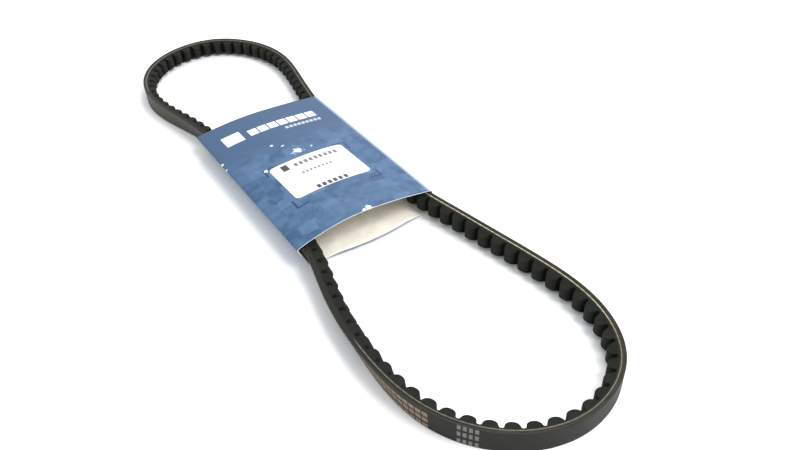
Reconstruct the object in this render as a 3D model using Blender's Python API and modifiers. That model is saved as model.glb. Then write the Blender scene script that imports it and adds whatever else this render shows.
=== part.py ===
"""Cogged V-belt lying on its edge, held at the waist by a folded card sleeve with a label.

Frame: the loop's long direction is +Y, its plane is level, +Z is up and the floor is z = 0.
The back of the belt faces outwards and the cogs face into the loop.
"""
import math

import bpy
import numpy as np

MM = 0.001

# Belt section (classical 13 mm wide section, raw edge, cogged)
TOP_WIDTH = 12.9 * MM
THICKNESS = 8.0 * MM
FLANK_ANGLE = math.radians(20.0)
OUTSIDE_LENGTH = 1044.0 * MM
COG_COUNT = 108
COG_OFFSET = 1.0 * MM
COG_ROOT_DEPTH = 3.7 * MM
COG_FILL = 0.80
COG_ROUNDNESS = 2.4
COG_STEPS = 7
RING_SHARP_ANGLE = math.radians(35.0)

# Layers, as depths below the back of the belt
BACK_COVER = (0.0, 0.5 * MM)
OVERCORD = (0.6 * MM, 1.2 * MM)
UPPER_GUM = (1.3 * MM, 1.6 * MM)
LOWER_GUM = (2.75 * MM, 3.0 * MM)
UNDERCORD_TOP = 3.15 * MM

# Tension cord
CORD_RADIUS = 0.45 * MM
CORD_DEPTH = 2.2 * MM
CORD_TURNS = 8
CORD_SPACING = 1.4 * MM

# Points that the belt's back passes through, seen from above, anticlockwise from the near tip
LOOP_POINTS_MM = [
    (0, -229), (37, -216), (54, -180), (53, -143), (45.5, -95), (40, -60), (38.5, 10),
    (43, 76), (52, 119), (58.5, 160), (50, 199), (22, 226.5), (-14, 224.5), (-42, 200),
    (-53, 162), (-48, 121), (-41.5, 76), (-41, 10), (-44.3, -62), (-53.5, -100),
    (-59, -145), (-53, -187), (-30, -218),
]
LOOP_SAMPLES = 2000
STATION_LENGTH = 30.0 * MM
STATION_TURN = math.radians(9.0)
STATION_LEAN = math.radians(2.0)
SAME_PLACE = 0.001

# The left strand leans: the sleeve tucks the lower edge of its back inwards
LEAN = math.radians(20.0)
LEAN_NEAR_Y = (-205.0 * MM, -115.0 * MM)
LEAN_FAR_Y = (170.0 * MM, 60.0 * MM)

# Where the belt lies on the card it is lifted off the floor
BELT_LIFT = 0.8 * MM
LIFT_PLATEAU = 82.0 * MM
LIFT_END = 130.0 * MM

# Card sleeve
CARD_THICKNESS = 0.45 * MM
SLEEVE_LENGTH = 144.0 * MM
SLEEVE_CENTRE_Y = 8.0 * MM
CREASE_LEFT_X = (-48.0 * MM, -47.2 * MM)
CREASE_RIGHT_X = (41.9 * MM, 45.4 * MM)
CREASE_LEFT_Z = 13.6 * MM
CREASE_RIGHT_Z = 14.0 * MM
FOOT_LEFT_X = (-42.4 * MM, -41.2 * MM)
FOOT_RIGHT_X = (41.7 * MM, 45.2 * MM)
FOOT_RADIUS = 1.1 * MM
FOOT_LEFT_TURN = math.radians(63.0)
FOOT_RIGHT_TURN = math.radians(89.0)
FOOT_STEPS = 3
ARCH_RISE = (6.6 * MM, 3.4 * MM)
ARCH_SKEW = 0.85
ARCH_STEPS = 16
SLEEVE_ROWS = (0.0, 0.06, 0.25, 0.5, 0.75, 0.94, 1.0)
WALL_END_Z = 1.0 * MM

# Glue flap: it rises from the bottom panel outside the right wall, with tapered ends
FLAP_TOP_Z = 10.5 * MM
FLAP_END_Z = 3.0 * MM
FLAP_TAPER = 0.06 * SLEEVE_LENGTH
GLUE_THICKNESS = 0.10 * MM
GLUE_GAP = 0.08 * MM
GLUE_MARGIN = 1.5 * MM
GLUE_Z = (9.0 * MM, 3.0 * MM)
FLAP_OFFSET = CARD_THICKNESS + GLUE_THICKNESS + 2.0 * GLUE_GAP
CARD_SHARP_ANGLE = math.radians(40.0)

# Label
LABEL_SIZE = (50.8 * MM, 38.1 * MM)
LABEL_CENTRE = (-3.2 * MM, -10.0 * MM)
LABEL_CORNER = 3.0 * MM
LABEL_THICKNESS = 0.12 * MM
LABEL_GAP = 0.06 * MM
LABEL_STEPS = 12
LABEL_CORNER_TURNS = (30.0, 60.0, 85.0)
LABEL_ROWS = (-1.0, -1.0 / 3.0, 1.0 / 3.0, 1.0)


def clear_scene():
    for old in list(bpy.data.objects):
        bpy.data.objects.remove(old, do_unlink=True)


def new_collection(name):
    collection = bpy.data.collections.new(name)
    bpy.context.scene.collection.children.link(collection)
    return collection


def principled(name, colour, roughness):
    material = bpy.data.materials.new(name)
    material.use_nodes = True
    shader = material.node_tree.nodes["Principled BSDF"]
    shader.inputs["Base Color"].default_value = (*colour, 1.0)
    shader.inputs["Roughness"].default_value = roughness
    shader.inputs["Metallic"].default_value = 0.0
    return material


def add_object(name, data, collection, material):
    obj = bpy.data.objects.new(name, data)
    collection.objects.link(obj)
    data.materials.append(material)
    return obj


def periodic_spline(points, samples):
    """A smooth closed curve through the points, sampled evenly in its parameter."""
    points = np.array(points, dtype=float)
    count = len(points)
    gap = np.linalg.norm(np.roll(points, -1, axis=0) - points, axis=1)
    before = np.roll(gap, 1)
    system = np.zeros((count, count))
    for i in range(count):
        system[i, i - 1] = gap[i]
        system[i, i] = 2.0 * (gap[i] + before[i])
        system[i, (i + 1) % count] = before[i]
    rise = (np.roll(points, -1, axis=0) - points) / gap[:, None]
    right = 3.0 * (before[:, None] * rise + gap[:, None] * np.roll(rise, 1, axis=0))
    slope = np.linalg.solve(system, right)
    knots = np.concatenate([[0.0], np.cumsum(gap)])
    where = np.linspace(0.0, knots[-1], samples, endpoint=False)
    i = np.searchsorted(knots, where, side="right") - 1
    t = ((where - knots[i]) / gap[i])[:, None]
    j = (i + 1) % count
    h = gap[i][:, None]
    return ((2 * t**3 - 3 * t**2 + 1) * points[i] + (t**3 - 2 * t**2 + t) * h * slope[i]
            + (3 * t**2 - 2 * t**3) * points[j] + (t**3 - t**2) * h * slope[j])


def smooth(value, start, end):
    """Rises smoothly from 0 at start to 1 at end."""
    t = min(max((value - start) / (end - start), 0.0), 1.0)
    return t * t * (3.0 - 2.0 * t)


def belt_lift(y):
    """Height of the belt's lower edge: level on the card, down to the floor in both loops."""
    away = abs(y - SLEEVE_CENTRE_Y)
    return BELT_LIFT * smooth(away, LIFT_END, LIFT_PLATEAU)


def belt_lean(x, y):
    """How far the belt's section is turned, with its top outwards, on the left strand."""
    if x > 0.0:
        return 0.0
    return LEAN * smooth(y, *LEAN_NEAR_Y) * smooth(y, *LEAN_FAR_Y)


def loop_stations():
    """Corner points of the belt's back line, closer together where the belt bends or leans."""
    curve = periodic_spline(LOOP_POINTS_MM, LOOP_SAMPLES) * MM
    step = np.roll(curve, -1, axis=0) - curve
    length = np.linalg.norm(step, axis=1)
    curve *= OUTSIDE_LENGTH / length.sum()
    curve -= (curve.min(axis=0) + curve.max(axis=0)) / 2.0
    heading = np.unwrap(np.arctan2(step[:, 1], step[:, 0]))
    turn = np.abs(np.diff(heading, append=heading[0] + 2.0 * math.pi))
    lean = np.array([belt_lean(x, y) for x, y in curve])
    roll = np.abs(np.roll(lean, -1) - lean)
    weight = length / STATION_LENGTH + turn / STATION_TURN + roll / STATION_LEAN
    progress = np.concatenate([[0.0], np.cumsum(weight)])
    count = round(progress[-1])
    wanted = np.arange(count) * progress[-1] / count
    return curve[np.searchsorted(progress, wanted)]


def loop_frames():
    """For each station: top corner of the back, inward direction, and down direction."""
    points = loop_stations()
    after = np.roll(points, -1, axis=0) - points
    after /= np.linalg.norm(after, axis=1)[:, None]
    tangent = after + np.roll(after, 1, axis=0)
    tangent /= np.linalg.norm(tangent, axis=1)[:, None]
    frames = []
    for (x, y), (tx, ty) in zip(points, tangent):
        lean = belt_lean(x, y)
        c, s = math.cos(lean), math.sin(lean)
        corner = np.array([x, y, belt_lift(y) + TOP_WIDTH * c])
        inward = np.array([-ty * c, tx * c, s])
        down = np.array([-ty * s, tx * s, -c])
        frames.append((corner, inward, down))
    return frames


def half_width(depth):
    return TOP_WIDTH / 2.0 - depth * math.tan(FLANK_ANGLE)


def belt_point(frames, place, depth, height):
    """A point on the belt; place is a station number with a fraction along the chord."""
    i = int(place) % len(frames)
    t = place - int(place)
    ends = []
    for corner, inward, down in (frames[i], frames[(i + 1) % len(frames)]):
        ends.append(corner + inward * depth + down * (TOP_WIDTH / 2.0 - height))
    return tuple((1.0 - t) * ends[0] + t * ends[1])


def ring_mesh(name, sections):
    """A closed ring lofted through the sections, each a list of the same number of points.

    Each four-sided patch is split from the lower to the upper edge of the belt, the same way
    on both faces of a layer, so that neighbouring layers stay parallel where the belt leans.
    """
    size = len(sections[0])
    vertices = [point for section in sections for point in section]
    faces = []
    for i in range(len(sections)):
        j = (i + 1) % len(sections)
        for k in range(size):
            m = (k + 1) % size
            a, b, c, d = i * size + k, i * size + m, j * size + m, j * size + k
            if k < size // 2:
                faces += [(a, b, c), (a, c, d)]
            else:
                faces += [(a, b, d), (b, c, d)]
    mesh = bpy.data.meshes.new(name)
    mesh.from_pydata(vertices, [], faces)
    mesh.shade_smooth()
    mesh.set_sharp_from_angle(angle=RING_SHARP_ANGLE)
    return mesh


def layer_section(frames, place, top, bottom):
    corners = [(top, -half_width(top)), (bottom, -half_width(bottom)),
               (bottom, half_width(bottom)), (top, half_width(top))]
    return [belt_point(frames, place, depth, height) for depth, height in corners]


def layer_ring(name, frames, span, collection, material):
    sections = [layer_section(frames, place, *span) for place in range(len(frames))]
    return add_object(name, ring_mesh(name, sections), collection, material)


def cog_outline():
    """One cog as (fraction of a pitch, depth), from one notch floor to the next."""
    rise = THICKNESS - COG_ROOT_DEPTH
    outline = []
    for k in range(COG_STEPS + 1):
        angle = math.pi * k / COG_STEPS
        across = -math.copysign(abs(math.cos(angle)) ** (2.0 / COG_ROUNDNESS), math.cos(angle))
        up = abs(math.sin(angle)) ** (2.0 / COG_ROUNDNESS)
        outline.append((0.5 + 0.5 * COG_FILL * across, COG_ROOT_DEPTH + rise * up))
    return outline


def cog_places(frames):
    """Station numbers and depths all round the belt, by distance along the cord line."""
    count = len(frames)
    line = np.array([belt_point(frames, k, CORD_DEPTH, 0.0) for k in range(count)])
    length = np.linalg.norm(np.roll(line, -1, axis=0) - line, axis=1)
    along = np.concatenate([[0.0], np.cumsum(length)])
    pitch = along[-1] / COG_COUNT
    places = []
    for cog in range(COG_COUNT):
        for fraction, depth in cog_outline():
            where = ((cog + fraction) * pitch + COG_OFFSET) % along[-1]
            place = np.interp(where, along, np.arange(count + 1))
            places.append((float(place), depth))
    places += [(float(k), None) for k in range(count)]
    places.sort(key=lambda item: item[0])
    return fill_depths(places)


def fill_depths(places):
    """Give the bare stations the depth of the outline that runs past them."""
    known = [(place, depth) for place, depth in places if depth is not None]
    x = np.array([place for place, _ in known])
    y = np.array([depth for _, depth in known])
    kept = []
    for place, depth in places:
        if depth is None:
            if np.min(np.abs(x - place)) < SAME_PLACE:
                continue
            depth = float(np.interp(place, x, y))
        kept.append((place, depth))
    return kept


def undercord_ring(name, frames, collection, material):
    sections = [layer_section(frames, place, UNDERCORD_TOP, depth)
                for place, depth in cog_places(frames)]
    return add_object(name, ring_mesh(name, sections), collection, material)


def cord_turn(name, frames, height, collection, material):
    """One closed turn of the tension cord."""
    curve = bpy.data.curves.new(name, "CURVE")
    curve.dimensions = "3D"
    curve.twist_mode = "Z_UP"
    curve.bevel_depth = CORD_RADIUS
    curve.bevel_resolution = 1
    spline = curve.splines.new("POLY")
    spline.points.add(len(frames) - 1)
    for place, target in enumerate(spline.points):
        target.co = (*belt_point(frames, place, CORD_DEPTH, height), 1.0)
    spline.use_cyclic_u = True
    return add_object(name, curve, collection, material)


def build_belt(collection):
    frames = loop_frames()
    cloth = principled("back_cover_cloth", (0.085, 0.078, 0.070), 0.62)
    overcord = principled("overcord_rubber", (0.030, 0.031, 0.027), 0.70)
    upper_gum = principled("upper_gum_rubber", (0.050, 0.045, 0.035), 0.65)
    lower_gum = principled("lower_gum_rubber", (0.046, 0.043, 0.034), 0.65)
    undercord = principled("undercord_rubber", (0.022, 0.024, 0.020), 0.75)
    layer_ring("belt_back_cover", frames, BACK_COVER, collection, cloth)
    layer_ring("belt_overcord_rubber", frames, OVERCORD, collection, overcord)
    layer_ring("belt_upper_gum", frames, UPPER_GUM, collection, upper_gum)
    layer_ring("belt_lower_gum", frames, LOWER_GUM, collection, lower_gum)
    undercord_ring("belt_cogged_undercord", frames, collection, undercord)
    for turn in range(CORD_TURNS):
        height = (turn - (CORD_TURNS - 1) / 2.0) * CORD_SPACING
        name = f"tension_cord_turn_{turn + 1:02d}"
        cord = principled(f"cord_polyester_{turn + 1:02d}", (0.62, 0.57, 0.44), 0.80)
        cord_turn(name, frames, height, collection, cord)


def between(pair, t):
    return pair[0] + (pair[1] - pair[0]) * t


def sleeve_fraction(y):
    """0 at the near end of the sleeve and 1 at the far end."""
    return (y - SLEEVE_CENTRE_Y) / SLEEVE_LENGTH + 0.5


def arch_height(x, y):
    """Height of the top panel's middle surface."""
    t = sleeve_fraction(y)
    left = between(CREASE_LEFT_X, t)
    right = between(CREASE_RIGHT_X, t)
    s = min(max((x - left) / (right - left), 0.0), 1.0)
    base = CREASE_LEFT_Z + (CREASE_RIGHT_Z - CREASE_LEFT_Z) * s
    return base + between(ARCH_RISE, t) * math.sin(math.pi * s**ARCH_SKEW)


def foot_arc(x, side, turn, floor):
    """Rounded turn from the bottom panel up into a side wall; side is -1 left, 1 right."""
    centre = x - side * FOOT_RADIUS * math.sin(turn)
    arc = []
    for k in range(FOOT_STEPS + 1):
        angle = turn * k / FOOT_STEPS
        arc.append((centre + side * FOOT_RADIUS * math.sin(angle),
                    floor + FOOT_RADIUS * (1.0 - math.cos(angle))))
    return arc


def right_wall_x(t, z):
    """Where the right wall's middle surface is at a height."""
    foot = between(FOOT_RIGHT_X, t)
    return foot + (between(CREASE_RIGHT_X, t) - foot) * z / CREASE_RIGHT_Z


def flap_height(t):
    """Height of the glue flap's free edge, lower at both ends of the sleeve."""
    from_end = min(t, 1.0 - t) * SLEEVE_LENGTH
    return FLAP_END_Z + (FLAP_TOP_Z - FLAP_END_Z) * min(from_end / FLAP_TAPER, 1.0)


def card_section(y):
    """Middle line of the card across the sleeve, from the flap's edge to the right wall's."""
    t = sleeve_fraction(y)
    floor = CARD_THICKNESS / 2.0
    left = between(CREASE_LEFT_X, t)
    right = between(CREASE_RIGHT_X, t)
    top = flap_height(t)
    line = [(right_wall_x(t, top) + FLAP_OFFSET, top)]
    line += foot_arc(between(FOOT_RIGHT_X, t) + FLAP_OFFSET, 1, FOOT_RIGHT_TURN, floor)[::-1]
    line += [(0.0, floor)]
    line += foot_arc(between(FOOT_LEFT_X, t), -1, FOOT_LEFT_TURN, floor)
    for k in range(ARCH_STEPS + 1):
        x = left + (right - left) * k / ARCH_STEPS
        line.append((x, arch_height(x, y)))
    line += [(right_wall_x(t, WALL_END_Z), WALL_END_Z)]
    return [(x, y, z) for x, z in line]


def grid_mesh(name, rows):
    """An open sheet through rows of points."""
    width = len(rows[0])
    vertices = [point for row in rows for point in row]
    faces = []
    for i in range(len(rows) - 1):
        for k in range(width - 1):
            a = i * width + k
            faces.append((a, a + 1, a + width + 1, a + width))
    mesh = bpy.data.meshes.new(name)
    mesh.from_pydata(vertices, [], faces)
    mesh.shade_smooth()
    mesh.set_sharp_from_angle(angle=CARD_SHARP_ANGLE)
    return mesh


def solid_sheet(name, rows, thickness, offset, collection, material):
    obj = add_object(name, grid_mesh(name, rows), collection, material)
    shell = obj.modifiers.new("thickness", "SOLIDIFY")
    shell.thickness = thickness
    shell.offset = offset
    shell.use_even_offset = True
    return obj


def build_card(collection, slider):
    card = principled("printed_card", (0.105, 0.195, 0.380), 0.45)
    rows = [card_section(SLEEVE_CENTRE_Y + (t - 0.5) * SLEEVE_LENGTH) for t in SLEEVE_ROWS]
    obj = solid_sheet("sleeve_card", rows, CARD_THICKNESS, 0.0, collection, card)
    place_on_slider(obj, slider)


def build_glue(collection, slider):
    glue = principled("dried_glue", (0.62, 0.56, 0.42), 0.35)
    half = SLEEVE_LENGTH / 2.0 - FLAP_TAPER - GLUE_MARGIN
    outside = CARD_THICKNESS / 2.0 + GLUE_GAP
    rows = []
    for y in (SLEEVE_CENTRE_Y - half, SLEEVE_CENTRE_Y + half):
        t = sleeve_fraction(y)
        rows.append([(right_wall_x(t, z) + outside, y, z) for z in GLUE_Z])
    obj = solid_sheet("sleeve_glue_strip", rows, GLUE_THICKNESS, 1.0, collection, glue)
    place_on_slider(obj, slider)


def label_half_length(x):
    """Half of the label's length at a distance x from its middle, less at the round corners."""
    inside = abs(x) - (LABEL_SIZE[0] / 2.0 - LABEL_CORNER)
    if inside <= 0.0:
        return LABEL_SIZE[1] / 2.0
    drop = LABEL_CORNER - math.sqrt(max(LABEL_CORNER**2 - inside**2, 0.0))
    return LABEL_SIZE[1] / 2.0 - drop


def label_columns():
    """Distances from the label's middle line, close together at the rounded corners."""
    straight = LABEL_SIZE[0] / 2.0 - LABEL_CORNER
    columns = [straight * (2.0 * k / LABEL_STEPS - 1.0) for k in range(LABEL_STEPS + 1)]
    corner = [straight + LABEL_CORNER * math.sin(math.radians(a)) for a in LABEL_CORNER_TURNS]
    return [-x for x in reversed(corner)] + columns + corner


def build_label(collection, slider):
    paper = principled("label_paper", (0.86, 0.87, 0.88), 0.40)
    above = CARD_THICKNESS / 2.0 + LABEL_GAP
    rows = []
    for fraction in LABEL_ROWS:
        row = []
        for x in label_columns():
            y = LABEL_CENTRE[1] + fraction * label_half_length(x)
            at = LABEL_CENTRE[0] + x
            row.append((at, y, arch_height(at, y) + above))
        rows.append(row)
    obj = solid_sheet("sleeve_label", rows, LABEL_THICKNESS, 1.0, collection, paper)
    place_on_slider(obj, slider)


def place_on_slider(obj, slider):
    """Hang a piece on the sliding frame without moving its surface."""
    obj.data.transform(slider.matrix_world.inverted())
    obj.parent = slider


def build_sleeve(collection):
    slider = bpy.data.objects.new("sleeve_slide_frame", None)
    collection.objects.link(slider)
    slider.location = (0.0, SLEEVE_CENTRE_Y, TOP_WIDTH / 2.0)
    bpy.context.view_layer.update()
    build_card(collection, slider)
    build_glue(collection, slider)
    build_label(collection, slider)


clear_scene()
belt_parts = new_collection("cogged_v_belt_in_sleeve")
build_belt(belt_parts)
build_sleeve(belt_parts)
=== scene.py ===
"""Looks of a cogged V-belt in its folded card sleeve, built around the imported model.

Everything is in metres in the model's frame: the loop's long direction is +Y, the floor is z = 0.
"""
import math

import bpy
import numpy as np
from mathutils import Matrix, Vector


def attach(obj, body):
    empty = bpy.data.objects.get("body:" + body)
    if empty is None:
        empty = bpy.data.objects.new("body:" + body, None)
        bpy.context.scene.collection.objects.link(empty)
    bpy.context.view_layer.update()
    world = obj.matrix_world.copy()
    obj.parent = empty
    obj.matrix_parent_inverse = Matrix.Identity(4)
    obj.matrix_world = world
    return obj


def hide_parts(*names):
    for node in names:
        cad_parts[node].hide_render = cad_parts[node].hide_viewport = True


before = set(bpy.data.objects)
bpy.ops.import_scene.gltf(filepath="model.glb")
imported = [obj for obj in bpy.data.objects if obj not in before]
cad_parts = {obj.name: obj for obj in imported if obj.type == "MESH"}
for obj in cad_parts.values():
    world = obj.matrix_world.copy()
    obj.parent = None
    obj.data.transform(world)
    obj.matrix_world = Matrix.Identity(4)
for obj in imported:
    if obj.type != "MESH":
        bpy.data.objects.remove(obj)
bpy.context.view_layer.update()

MM = 0.001

# The belt's section and line, as in the model
TOP_WIDTH = 12.9 * MM
THICKNESS = 8.0 * MM
FLANK_ANGLE = math.radians(20.0)
OUTSIDE_LENGTH = 1044.0 * MM
COG_COUNT = 108
COG_OFFSET = 1.0 * MM
COG_ROOT_DEPTH = 3.7 * MM
COG_FILL = 0.775
COG_ROUNDNESS = 2.3
COG_SMOOTHING_SAMPLES = 800
CORD_DEPTH = 2.2 * MM
CORD_TURNS = 8
CORD_SPACING = 1.4 * MM
LOOP_POINTS_MM = [
    (0, -229), (37, -216), (54, -180), (53, -143), (45.5, -95), (40, -60), (38.5, 10),
    (43, 76), (52, 119), (58.5, 160), (50, 199), (22, 226.5), (-14, 224.5), (-42, 200),
    (-53, 162), (-48, 121), (-41.5, 76), (-41, 10), (-44.3, -62), (-53.5, -100),
    (-59, -145), (-53, -187), (-30, -218),
]
LINE_SAMPLES = 2000
LEAN = math.radians(20.0)
LEAN_NEAR_Y = (-205.0 * MM, -115.0 * MM)
LEAN_FAR_Y = (170.0 * MM, 60.0 * MM)
BELT_LIFT = 0.8 * MM
LIFT_PLATEAU = 82.0 * MM
LIFT_END = 130.0 * MM

# Fine layers of the belt, as depths below its back
BACK_COVER = (0.0, 0.62 * MM)
OVERCORD = (0.66 * MM, 1.24 * MM)
UPPER_GUM = (1.28 * MM, 2.04 * MM)
LOWER_GUM = (2.38 * MM, 3.06 * MM)
UNDERCORD_TOP = 3.10 * MM
LAYER_STATIONS = 600
EDGE_ROUND = 0.35 * MM
LAYER_CHAMFER = 0.06 * MM
FINE_CORD_RADIUS = 0.29 * MM
CORD_STRANDS = 3
CORD_TWIST_PITCH = 4.2 * MM
CORD_TWIST_DEPTH = 0.045 * MM
CORD_SUNK_SHARE = 0.80
OUTER_CORD_STATIONS = 1500
OUTER_CORD_SIDES = 16
INNER_CORD_STATIONS = 360
INNER_CORD_SIDES = 10
COG_PROFILE_POINTS = 20
COG_FILLET = 0.028
COG_EDGE_ROUND = 0.30 * MM
BACK_CROWN_POINTS = 9
LAYER_CROWN_POINTS = 1

# The sleeve, as in the model
CARD_THICKNESS = 0.45 * MM
SLEEVE_LENGTH = 144.0 * MM
SLEEVE_CENTRE_Y = 8.0 * MM
CREASE_LEFT_X = (-48.0 * MM, -47.2 * MM)
CREASE_RIGHT_X = (41.9 * MM, 45.4 * MM)
CREASE_LEFT_Z = 13.6 * MM
CREASE_RIGHT_Z = 14.0 * MM
FOOT_LEFT_X = (-42.4 * MM, -41.2 * MM)
FOOT_RIGHT_X = (41.7 * MM, 45.2 * MM)
FOOT_RADIUS = 1.1 * MM
FOOT_LEFT_TURN = math.radians(63.0)
FOOT_RIGHT_TURN = math.radians(89.0)
ARCH_RISE = (6.6 * MM, 3.4 * MM)
ARCH_SKEW = 0.85
WALL_END_Z = 1.0 * MM
FLAP_TOP_Z = 10.5 * MM
FLAP_END_Z = 3.0 * MM
FLAP_TAPER = 0.06 * SLEEVE_LENGTH
FLAP_OFFSET = 0.71 * MM
LABEL_SIZE = (50.8 * MM, 38.1 * MM)
LABEL_CENTRE = (-3.2 * MM, -10.0 * MM)
LABEL_CORNER = 3.0 * MM
LABEL_THICKNESS = 0.12 * MM
LABEL_GAP = 0.03 * MM

# Fine sleeve
FOOT_STEPS = 8
WALL_STEPS = 6
ARCH_STEPS = 72
FLOOR_STEPS = 24
SLEEVE_ROWS = 96
CREASE_ROUND = 0.9 * MM
LEFT_CREASE_STEPS = 5
RIGHT_CREASE_STEPS = 7
CARD_WAVE = 0.10 * MM
CARD_WAVE_LENGTHS = (9.0 * MM, 23.0 * MM, 13.0 * MM, 31.0 * MM)
CARD_SECOND_WAVE = 0.7
LIP_RISE = 2.4 * MM
LIP_BOW = 4.8 * MM
LIP_REACH = 18.0 * MM
LIP_X = (-29.0 * MM, 27.0 * MM)
LIP_SIDE = 8.0 * MM
LABEL_CORNER_STEPS = 7
LABEL_CORNER_TURN = 88.0
LABEL_COLUMNS = 41
LABEL_ROWS = 31

# Camera
CAMERA_PLACE = (-159.07 * MM, -338.61 * MM, 260.39 * MM)
CAMERA_HEADING = math.radians(32.85)
CAMERA_PITCH = math.radians(38.42)
CAMERA_ROLL = math.radians(-2.62)
CAMERA_LENS = 32.07
CAMERA_SENSOR = 36.0
CAMERA_SHIFT = -0.003

# Floor and lights; each lamp has a place, watts, size in metres and colour
FLOOR_HALF = 4.0
FLOOR_COLOUR = (0.92, 0.93, 0.94)
WORLD_STRENGTH = 1.04
WORLD_COLOUR = (0.97, 0.985, 1.0, 1.0)
BACK_LAMP = ((0.8, 0.9, 1.15), 11.0, 0.9, (1.0, 0.985, 0.96))
FRONT_LAMP = ((0.45, -0.80, 1.20), 16.0, 0.8, (1.0, 0.99, 0.97))


# ---------------------------------------------------------------- belt line

def periodic_spline(points, samples):
    """A smooth closed curve through the points, sampled evenly in its parameter."""
    points = np.array(points, dtype=float)
    count = len(points)
    gap = np.linalg.norm(np.roll(points, -1, axis=0) - points, axis=1)
    before = np.roll(gap, 1)
    system = np.zeros((count, count))
    for i in range(count):
        system[i, i - 1] = gap[i]
        system[i, i] = 2.0 * (gap[i] + before[i])
        system[i, (i + 1) % count] = before[i]
    rise = (np.roll(points, -1, axis=0) - points) / gap[:, None]
    right = 3.0 * (before[:, None] * rise + gap[:, None] * np.roll(rise, 1, axis=0))
    slope = np.linalg.solve(system, right)
    knots = np.concatenate([[0.0], np.cumsum(gap)])
    where = np.linspace(0.0, knots[-1], samples, endpoint=False)
    i = np.searchsorted(knots, where, side="right") - 1
    t = ((where - knots[i]) / gap[i])[:, None]
    j = (i + 1) % count
    h = gap[i][:, None]
    return ((2 * t**3 - 3 * t**2 + 1) * points[i] + (t**3 - 2 * t**2 + t) * h * slope[i]
            + (3 * t**2 - 2 * t**3) * points[j] + (t**3 - t**2) * h * slope[j])


def smooth(value, start, end):
    """Rises smoothly from 0 at start to 1 at end; works on arrays."""
    t = np.clip((value - start) / (end - start), 0.0, 1.0)
    return t * t * (3.0 - 2.0 * t)


def belt_line():
    """Corner, inward and down vectors along the belt."""
    curve = periodic_spline(LOOP_POINTS_MM, LINE_SAMPLES) * MM
    step = np.roll(curve, -1, axis=0) - curve
    curve *= OUTSIDE_LENGTH / np.linalg.norm(step, axis=1).sum()
    curve -= (curve.min(axis=0) + curve.max(axis=0)) / 2.0
    tangent = np.roll(curve, -1, axis=0) - np.roll(curve, 1, axis=0)
    tangent /= np.linalg.norm(tangent, axis=1)[:, None]
    x, y = curve.T
    lean = np.where(x > 0.0, 0.0, LEAN * smooth(y, *LEAN_NEAR_Y) * smooth(y, *LEAN_FAR_Y))
    lift = BELT_LIFT * smooth(np.abs(y - SLEEVE_CENTRE_Y), LIFT_END, LIFT_PLATEAU)
    c, s = np.cos(lean), np.sin(lean)
    corner = np.stack([x, y, lift + TOP_WIDTH * c], axis=1)
    inward = np.stack([-tangent[:, 1] * c, tangent[:, 0] * c, s], axis=1)
    down = np.stack([-tangent[:, 1] * s, tangent[:, 0] * s, -c], axis=1)
    return corner, inward, down


LINE = belt_line()


def frames_at(place):
    """Corner, inward and down at fractional sample numbers."""
    whole = np.floor(place).astype(int)
    t = (place - whole)[:, None]
    i, j = whole % LINE_SAMPLES, (whole + 1) % LINE_SAMPLES
    return [(1.0 - t) * part[i] + t * part[j] for part in LINE]


def belt_points(place, depth, height):
    """Points on the belt; depth and height are arrays of (stations, section points)."""
    corner, inward, down = frames_at(place)
    return (corner[:, None] + inward[:, None] * depth[..., None]
            + down[:, None] * (TOP_WIDTH / 2.0 - height)[..., None])


def distance_along(depth):
    """Distance at each sample round the belt at a depth, with the full length last."""
    line = LINE[0] + LINE[1] * depth + LINE[2] * TOP_WIDTH / 2.0
    step = np.linalg.norm(np.roll(line, -1, axis=0) - line, axis=1)
    return np.concatenate([[0.0], np.cumsum(step)])


def places_by_distance(distance, depth):
    along = distance_along(depth)
    return np.interp(distance, along, np.arange(LINE_SAMPLES + 1))


def half_width(depth):
    return TOP_WIDTH / 2.0 - depth * math.tan(FLANK_ANGLE)


# ---------------------------------------------------------------- meshes

def add_piece(name, mesh, materials, body, replaced=()):
    piece = bpy.data.objects.new(name, mesh)
    bpy.context.scene.collection.objects.link(piece)
    for material in materials:
        mesh.materials.append(material)
    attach(piece, body)
    if replaced:
        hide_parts(*replaced)
    return piece


def ring_mesh(name, points, along, depth, height, sharp_degrees=50.0):
    """A closed ring through sections of points; each corner keeps its place on the belt."""
    stations, size = points.shape[:2]
    i = np.arange(stations)[:, None]
    k = np.arange(size)[None, :]
    j, m = (i + 1) % stations, (k + 1) % size
    quad = (i * size + k, i * size + m, j * size + m, j * size + k)
    faces = np.stack(np.broadcast_arrays(*quad), -1)
    mesh = bpy.data.meshes.new(name)
    mesh.from_pydata(points.reshape(-1, 3).tolist(), [], faces.reshape(-1, 4).tolist())
    far = np.append(along[1:], distance_along(0.0)[-1])[:, None]
    near = np.broadcast_to(along[:, None], (stations, size))
    far = np.broadcast_to(far, (stations, size))
    next_station = (np.arange(stations) + 1) % stations
    next_point = (np.arange(size) + 1) % size
    corners = [
        (near, height, depth),
        (near, height[:, next_point], depth[:, next_point]),
        (far, height[next_station][:, next_point], depth[next_station][:, next_point]),
        (far, height[next_station], depth[next_station]),
    ]
    data = np.stack([np.stack(np.broadcast_arrays(*corner), -1) for corner in corners], axis=2)
    place = mesh.attributes.new("belt_place", "FLOAT_VECTOR", "CORNER")
    place.data.foreach_set("vector", data.astype(np.float32).ravel())
    mesh.shade_smooth()
    mesh.set_sharp_from_angle(angle=math.radians(sharp_degrees))
    return mesh


def even_stations(count):
    """Sample places spaced evenly along the belt's back, and their distances."""
    along = distance_along(0.0)
    distance = np.arange(count) * along[-1] / count
    return np.interp(distance, along, np.arange(LINE_SAMPLES + 1)), distance


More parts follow.
